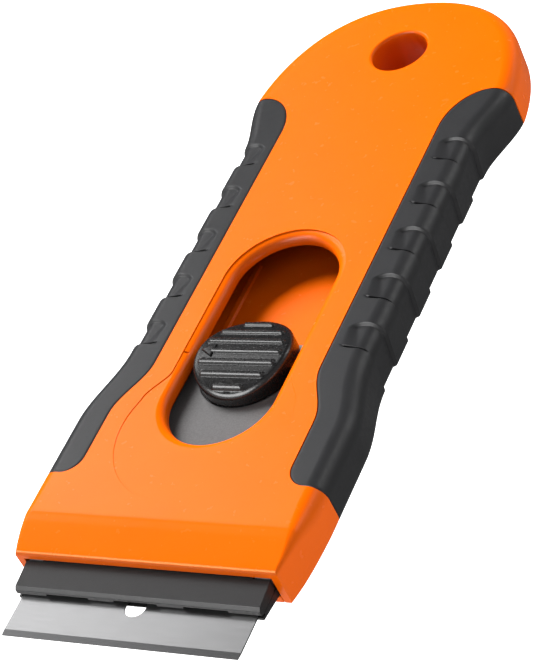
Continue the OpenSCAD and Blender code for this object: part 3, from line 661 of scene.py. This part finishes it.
def arch_z(y, lift=0.0):
    """Height of the button's arched top at a distance y from its middle."""
    r = (BUTTON_R ** 2 + BUTTON_DROP ** 2) / (2 * BUTTON_DROP)
    return BUTTON_TOP + lift - r + np.sqrt(np.clip(r ** 2 - np.asarray(y, float) ** 2, 0, None))


def button_ring(radius):
    """Points of a circle round the button's middle."""
    return circle(radius, 0, BUTTON_SIDES)


def on_button(name, rings):
    """Skin over rings that are placed from the button's middle."""
    return loft(name, [ring + (0, BUTTON_Y, 0) for ring in rings])


def button_body():
    """Round skirt with a rounded shoulder under an arched roof, hollow below."""
    inside, under = BUTTON_R - SKIRT_WALL, BUTTON_TOP - BUTTON_DROP - ROOF_T
    wall = [(MIDDLE_R, under), (inside, under), (inside, BUTTON_LOW),
            (BUTTON_R - SKIRT_EASE, BUTTON_LOW), (BUTTON_R, BUTTON_LOW + SKIRT_EASE)]
    rings = [at_height(button_ring(r), z) for r, z in wall]
    for b in np.radians(np.linspace(0, 90, 9)):
        p = button_ring(BUTTON_R - BUTTON_ROUND * (1 - math.cos(b)))
        rings.append(at_height(p, arch_z(p[:, 1]) - BUTTON_ROUND * (1 - math.sin(b))))
    for r in np.linspace(BUTTON_R - BUTTON_ROUND, MIDDLE_R, 26)[1:]:
        p = button_ring(r)
        rings.append(at_height(p, arch_z(p[:, 1])))
    return on_button("button", rings)


def rib(k):
    """One round-ended rib with a rounded crest, lying on the arched top."""
    y = k * RIB_PITCH
    reach = math.sqrt(RIB_END ** 2 - y ** 2) - RIB_W / 2
    left = -reach if k else -RIB_END + ARROW_LEN + ARROW_GAP
    a = np.linspace(0, np.pi, 17)
    rings = []
    for off, lift in RIB_STEPS:
        h = RIB_W / 2 + off
        right = np.column_stack([reach + h * np.sin(a), y - h * np.cos(a)])
        back = np.column_stack([left - h * np.sin(a), y + h * np.cos(a)])
        p = np.vstack([right, back])
        rings.append(at_height(p, arch_z(p[:, 1], lift)))
    return on_button("rib", rings)


def arrow():
    """Small arrow head at the left end of the middle rib."""
    tip, base = -RIB_END + ARROW_GAP, -RIB_END + ARROW_LEN + ARROW_LAP
    corner = np.array([[tip, 0], [base, -ARROW_HALF], [base, ARROW_HALF]])
    middle = corner.mean(axis=0)
    rings = []
    for scale, lift in ARROW_STEPS:
        p = middle + (corner - middle) * scale
        rings.append(at_height(p, arch_z(p[:, 1], lift)))
    return on_button("arrow", rings)


def button(material):
    piece = button_body()
    half = RIB_N // 2
    for k in range(-half, half + 1):
        carve(piece, rib(k), "UNION")
    carve(piece, arrow(), "UNION")
    under = BUTTON_TOP - BUTTON_DROP - ROOF_T
    carve(piece, prism("stem", circle(STEM_R, BUTTON_Y, 40), FOOT_LOW, under + STEM_LAP), "UNION")
    carve(piece, prism("foot", circle(FOOT_R, BUTTON_Y, 40), FOOT_LOW, FOOT_HIGH), "UNION")
    close_up(piece)
    smooth(piece, 40)
    finish_piece(piece, "button", "button_plastic", material, "slide_button")
    return piece


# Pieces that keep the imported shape, with softened edges


def jaw_front():
    """Wedge that the bevel along the jaw's front edge takes off."""
    low, far = JAW_TIP_Z - JAW_BEVEL, JAW_BEVEL - JAW_OUT
    front, above = -JAW_OUT - PAST, JAW_TIP_Z + PAST
    profile = [(front, low - PAST), (far + PAST, above), (front, above)]
    ends = [np.column_stack([np.full(3, x), profile]) for x in (-WAIST_HALF, WAIST_HALF)]
    return loft("wedge", ends)


def jaw_notches():
    """Three dark pockets in the jaw's front edge, above the blade."""
    return [block("notch", (k * NOTCH_PITCH - NOTCH_W / 2, -JAW_OUT - PAST, BLADE_LOW),
                  (k * NOTCH_PITCH + NOTCH_W / 2, NOTCH_IN - JAW_OUT, NOTCH_TOP)) for k in (-1, 0, 1)]


def bed_under_hole():
    """Floor of the bed behind the blade's hole."""
    low = -BED_FILL_HALF, BED_FILL_FRONT - JAW_OUT, BLADE_LOW - BED_FILL_LOW
    return block("patch", low, (BED_FILL_HALF, BED_FILL_REAR - JAW_OUT, BLADE_LOW - BED_FILL_TOP))


def room_for_lock():
    """Tops of the floor's guides, which the pressed lock bar passes."""
    low, high = GUIDE_ROOM
    return [block("low_guide", (min(side * low[0], side * high[0]), low[1], low[2]),
                  (max(side * low[0], side * high[0]), high[1], high[2])) for side in (-1, 1)]


def softened(node, body, slot_name, material, width, segments=2, cuts=(), fills=(), flex=None):
    """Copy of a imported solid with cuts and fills, its edges rounded to width."""
    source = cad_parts[node]
    piece = bpy.data.objects.new("soft_" + node, source.data.copy())
    bpy.context.scene.collection.objects.link(piece)

    def work():
        bpy.ops.mesh.remove_doubles(threshold=SOLID_WELD)
        bpy.ops.mesh.dissolve_limited(angle_limit=math.radians(1.0))

    in_edit(piece, work)
    for tool in cuts:
        carve(piece, tool)
    for tool in fills:
        carve(piece, tool, "UNION")
    apply_modifier(piece, "BEVEL", width=width * MM, segments=segments, limit_method="ANGLE",
                   angle_limit=math.radians(35), use_clamp_overlap=True)
    smooth(piece, 40)
    finish_piece(piece, body, slot_name, material, node, flex=flex)
    return piece


def coat(node, material):
    """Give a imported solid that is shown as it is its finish."""
    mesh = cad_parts[node].data
    mesh.materials.clear()
    mesh.materials.append(material)


# Materials


class Finish:
    """A node material on the piece's own coordinates."""

    def __init__(self, name, colour, rough, metal=0.0, specular=0.5):
        self.material = bpy.data.materials.new(name)
        self.material.use_nodes = True
        self.tree = self.material.node_tree
        self.shader = self.tree.nodes["Principled BSDF"]
        self.shader.inputs["Base Color"].default_value = (*colour, 1)
        self.shader.inputs["Roughness"].default_value = rough
        self.shader.inputs["Metallic"].default_value = metal
        self.shader.inputs["Specular IOR Level"].default_value = specular
        self.place = self.node("ShaderNodeTexCoord").outputs["Object"]
        self.bumps = None

    def node(self, kind, **inputs):
        made = self.tree.nodes.new(kind)
        for key, value in inputs.items():
            made.inputs[key.replace("_", " ")].default_value = value
        return made

    def link(self, a, b):
        self.tree.links.new(a, b)

    def noise(self, size_mm, detail=2.0, stretch=(1, 1, 1)):
        """Noise whose features are about size_mm wide."""
        mapping = self.node("ShaderNodeMapping")
        mapping.inputs["Scale"].default_value = stretch
        self.link(self.place, mapping.inputs["Vector"])
        made = self.node("ShaderNodeTexNoise", Scale=1 / (size_mm * MM), Detail=detail)
        self.link(mapping.outputs["Vector"], made.inputs["Vector"])
        return made.outputs["Fac"]

    def ramp(self, fac, stops):
        made = self.node("ShaderNodeValToRGB")
        for stop, (at, colour) in zip(made.color_ramp.elements, (stops[0], stops[-1])):
            stop.position, stop.color = at, (*colour, 1)
        for at, colour in stops[1:-1]:
            made.color_ramp.elements.new(at).color = (*colour, 1)
        self.link(fac, made.inputs["Fac"])
        return made.outputs["Color"]

    def spread(self, fac, low, high, start=0.3, end=0.7):
        """Map a pattern onto a range of values."""
        made = self.node("ShaderNodeMapRange")
        for key, value in (("From Min", start), ("From Max", end), ("To Min", low), ("To Max", high)):
            made.inputs[key].default_value = value
        self.link(fac, made.inputs["Value"])
        return made.outputs["Result"]

    def colour(self, socket):
        self.link(socket, self.shader.inputs["Base Color"])

    def rough(self, socket):
        self.link(socket, self.shader.inputs["Roughness"])

    def bump(self, fac, depth_mm, strength=1.0):
        made = self.node("ShaderNodeBump", Strength=strength, Distance=depth_mm * MM)
        self.link(fac, made.inputs["Height"])
        if self.bumps:
            self.link(self.bumps, made.inputs["Normal"])
        self.bumps = made.outputs["Normal"]
        self.link(self.bumps, self.shader.inputs["Normal"])


def lip_painted_highlight(f):
    """Painted highlight: a band of stronger, orange-tinted gloss on the rounded edge of the lip, for a
    bright line there.
    """
    axes = f.node("ShaderNodeSeparateXYZ")
    f.link(f.place, axes.inputs["Vector"])
    across = f.spread(axes.outputs["Y"], 0, 1, LIP_Y * MM, (LIP_Y + LIP_ROUND) * MM)
    # Painted highlight: gloss raised and tinted orange in a band across the lip's rounding
    for socket, dull, bright in (("Specular IOR Level", (0.1, 0.1, 0.1), (0.36, 0.36, 0.36)),
                                 ("Specular Tint", (1, 1, 1), (1, 0.66, 0.28))):
        highlight_band = f.ramp(across, [(0, dull), (0.06, dull), (0.14, bright), (0.7, bright), (1, dull)])
        f.link(highlight_band, f.shader.inputs[socket])


def orange_plastic():
    f = Finish("orange_moulded", (0.5, 0.073, 0.0003), 0.26, specular=0.1)
    f.colour(f.ramp(f.noise(9, 3), [(0.3, (0.493, 0.0715, 0.0002)), (0.7, (0.507, 0.0745, 0.0004))]))
    f.rough(f.spread(f.noise(1.2, 3), 0.25, 0.275))
    f.bump(f.noise(0.22, 2), 0.002)
    # Painted highlight along the lip's rounded edge
    lip_painted_highlight(f)
    return f.material


def soft_grip():
    f = Finish("grip_elastomer", (0.0135, 0.0135, 0.0142), 0.38, specular=0.28)
    f.colour(f.ramp(f.noise(3, 3), [(0.3, (0.0127, 0.0127, 0.0134)), (0.7, (0.0143, 0.0143, 0.015))]))
    f.rough(f.spread(f.noise(0.8, 3), 0.36, 0.44))
    f.bump(f.noise(0.12, 3), 0.006)
    return f.material


def dark_plastic(name, colour, rough, grain_mm, depth_mm, specular=0.4):
    f = Finish(name, colour, rough, specular=specular)
    low, high = [tuple(c * k for c in colour) for k in (0.86, 1.14)]
    f.colour(f.ramp(f.noise(grain_mm, 3), [(0.32, low), (0.68, high)]))
    f.rough(f.spread(f.noise(0.6, 3), rough - 0.04, rough + 0.05))
    f.bump(f.noise(grain_mm, 2), depth_mm)
    return f.material


def ground_blade_with_shaded_strip(name, face, bevel, rough):
    """Finely brushed sheet with a ground strip along the edge, darker than the face: partly its own
    ground finish, partly painted shade.
    """
    f = Finish(name, face, rough, metal=1.0)
    axes = f.node("ShaderNodeSeparateXYZ")
    f.link(f.place, axes.inputs["Vector"])
    strip = (LIP_Y - BLADE_OUT + BLADE_BEVEL) * MM
    along = f.spread(axes.outputs["Y"], 0, 1, strip - BEVEL_BLUR * MM, strip + BEVEL_BLUR * MM)
    # Darker ground strip: its own finish, and painted shade for its dimmer reflection
    f.colour(f.ramp(along, [(0, bevel), (1, face)]))
    f.rough(f.spread(f.noise(0.1, 3, (0.03, 1, 1)), rough - 0.02, rough + 0.04))
    f.bump(f.noise(0.1, 2, (0.03, 1, 1)), 0.0005)
    return f.material


def steel(name, colour, rough, stretch, grain_mm):
    f = Finish(name, colour, rough, metal=1.0)
    low, high = [tuple(c * k for c in colour) for k in (0.9, 1.08)]
    f.colour(f.ramp(f.noise(grain_mm, 4, stretch), [(0.3, low), (0.7, high)]))
    f.rough(f.spread(f.noise(grain_mm, 3, stretch), rough - 0.05, rough + 0.07))
    f.bump(f.noise(grain_mm, 2, stretch), 0.002)
    return f.material


# Stage


def camera():
    az, el, roll = (math.radians(v) for v in (CAMERA_AZ, CAMERA_EL, CAMERA_ROLL))
    ahead = Vector((-math.sin(az) * math.cos(el), math.cos(az) * math.cos(el), -math.sin(el)))
    right = Vector((math.cos(az), math.sin(az), 0))
    up = right.cross(ahead)
    right, up = right * math.cos(roll) + up * math.sin(roll), up * math.cos(roll) - right * math.sin(roll)
    turn = Matrix((right, up, -ahead)).transposed().to_4x4()
    data = bpy.data.cameras.new("camera")
    data.lens, data.sensor_width, data.sensor_fit = FOCAL_PX / FRAME_H * SENSOR, SENSOR, "AUTO"
    made = bpy.data.objects.new("camera", data)
    bpy.context.scene.collection.objects.link(made)
    made.matrix_world = Matrix.Translation(Vector(CAMERA_AT) * MM) @ turn
    bpy.context.scene.camera = made


def softbox(name, toward, distance, size, radiance, gloss=True, shade=True):
    """A panel of light in a given direction, which may only shade or only show as gloss."""
    at = Vector(toward).normalized() * distance
    data = bpy.data.lights.new(name, "AREA")
    data.shape, data.size, data.size_y = "RECTANGLE", size[0], size[1]
    data.energy = radiance * math.pi * size[0] * size[1]
    made = bpy.data.objects.new(name, data)
    bpy.context.scene.collection.objects.link(made)
    made.location = at
    made.rotation_euler = (-at).to_track_quat("-Z", "Y").to_euler()
    made.visible_glossy, made.visible_diffuse = gloss, shade


def floor_glow_with_painted_shadow(f):
    """Glow of the floor, with a painted shadow: the glow falls to a dark round spot under the hang hole.
    """
    away = f.node("ShaderNodeVectorMath")
    away.operation = "DISTANCE"
    away.inputs[1].default_value = (0, (LIP_Y + HANG_Y) * MM, 0)
    f.link(f.place, away.inputs[0])
    return f.spread(away.outputs["Value"], SHADOW_SPOT_GLOW, FLOOR_GLOW, SHADOW_SPOT_R * MM, SHADOW_SPOT_END * MM)


def clear_from_below(f):
    """The floor's back lets the underside be seen."""
    side = f.node("ShaderNodeNewGeometry")
    both = f.node("ShaderNodeMixShader")
    f.link(side.outputs["Backfacing"], both.inputs["Fac"])
    f.link(f.shader.outputs["BSDF"], both.inputs[1])
    f.link(f.node("ShaderNodeBsdfTransparent").outputs["BSDF"], both.inputs[2])
    f.link(both.outputs["Shader"], f.tree.nodes["Material Output"].inputs["Surface"])


def surround():
    """Dim studio walls, brighter low in front, where the lit floor shows in upright faces."""
    world = bpy.data.worlds.new("studio")
    world.use_nodes = True
    tree = world.node_tree
    back = tree.nodes["Background"]
    back.inputs["Color"].default_value = (1, 1, 1, 1)
    toward = tree.nodes.new("ShaderNodeTexCoord")
    total = tree.nodes.new("ShaderNodeMath")
    total.operation = "MULTIPLY_ADD"
    more = tree.nodes.new("ShaderNodeMath")
    tree.links.new(total.outputs["Value"], more.inputs[0])
    sockets = (*total.inputs, more.inputs[1])
    for socket, (side, start, end, low, high) in zip(sockets, STUDIO_WALLS):
        facing = tree.nodes.new("ShaderNodeVectorMath")
        facing.operation = "DOT_PRODUCT"
        facing.inputs[1].default_value = Vector(side).normalized()
        shade = tree.nodes.new("ShaderNodeMapRange")
        shade.interpolation_type = "SMOOTHSTEP"
        for key, value in (("From Min", start), ("From Max", end), ("To Min", low), ("To Max", high)):
            shade.inputs[key].default_value = value
        tree.links.new(toward.outputs["Generated"], facing.inputs[0])
        tree.links.new(facing.outputs["Value"], shade.inputs["Value"])
        tree.links.new(shade.outputs["Result"], socket)
    tree.links.new(more.outputs["Value"], back.inputs["Strength"])
    bpy.context.scene.world = world


def pale_floor():
    deselect()
    bpy.ops.mesh.primitive_plane_add(size=FLOOR_SIZE * MM, location=(0, 0, -FLOOR_GAP * MM))
    floor = bpy.context.object
    floor.name = "floor"
    f = Finish("pale_floor", (0.1, 0.1, 0.1), 0.9, specular=0.1)
    f.colour(f.ramp(f.noise(400, 1), [(0.3, (0.098, 0.098, 0.098)), (0.7, (0.102, 0.102, 0.102))]))
    f.shader.inputs["Emission Color"].default_value = (1, 1, 1, 1)
    f.link(floor_glow_with_painted_shadow(f), f.shader.inputs["Emission Strength"])
    clear_from_below(f)
    floor.data.materials.append(f.material)
    floor.visible_glossy = False


def studio_lights():
    softbox("key", (-0.62, 0.48, 0.62), 3.0, (1.5, 1.5), 62, gloss=False)
    softbox("rear_panel", (-0.70, 0.38, 0.60), 0.9, (0.38, 0.38), 4.6, shade=False)
    softbox("front_panel", (-0.38, -0.62, 0.69), 0.9, (0.8, 0.4), 15.0, shade=False)
    softbox("rear_strip", (0.58, 0.61, 0.54), 0.9, (0.22, 0.5), 4.5)
    softbox("front_fill", (0.1, -1, 0.1), 1.0, (0.8, 0.2), 9.0, gloss=False)
    softbox("tail_fill", (0.45, 0.88, 0.12), 0.9, (0.5, 0.2), 10.0, gloss=False)
    softbox("low_panel", (0.88, -0.46, 0.1), 0.9, (0.4, 0.12), 8.0, shade=False)


def stage():
    pale_floor()
    surround()
    studio_lights()
    camera()
    bpy.context.scene.view_settings.view_transform = "Standard"


def main():
    stage()
    orange, grip_rubber = orange_plastic(), soft_grip()
    holder = dark_plastic("holder_grained", (0.0105, 0.0101, 0.0103), 0.42, 0.16, 0.01, 0.3)
    slide = dark_plastic("slide_grained", (0.062, 0.0605, 0.061), 0.55, 0.22, 0.035)
    button_dark = dark_plastic("button_satin", (0.0058, 0.0056, 0.0058), 0.25, 0.15, 0.003, 0.4)
    # The blade's second colour is the ground strip's, darkened as painted shade
    blade = ground_blade_with_shaded_strip("blade_ground", (0.215, 0.215, 0.217), (0.115, 0.115, 0.117), 0.3)
    zinc = steel("screw_zinc", (0.55, 0.55, 0.56), 0.38, (1, 1, 1), 0.4)
    spring = steel("spring_rolled", (0.42, 0.43, 0.45), 0.36, (1, 0.05, 1), 0.15)
    shell(orange)
    grip("grip_r", 1, grip_rubber)
    grip("grip_l", -1, grip_rubber)
    button(button_dark)
    softened("bottom_cover", "handle", "orange_plastic", orange, 0.2, cuts=room_for_lock())
    softened("upper_jaw", "jaw", "holder_plastic", holder, 0.1, 3, cuts=[jaw_front(), *jaw_notches()])
    softened("blade_bed", "slide", "holder_plastic", holder, 0.1, fills=[bed_under_hole()])
    softened("slide_carriage", "slide", "slide_plastic", slide, 0.15)
    softened("cover_screws", "handle", "screw_steel", zinc, 0.12)
    softened("lock_spring", "slide", "spring_steel", spring, 0.06,
             flex=("button", (0, LEAF_FIXED * MM, 0), (0, LEAF_FREE * MM, 0)))
    coat("blade", blade)
    for node in ("bed_screws", "jaw_pins", "lock_rivets"):
        coat(node, zinc)


main()
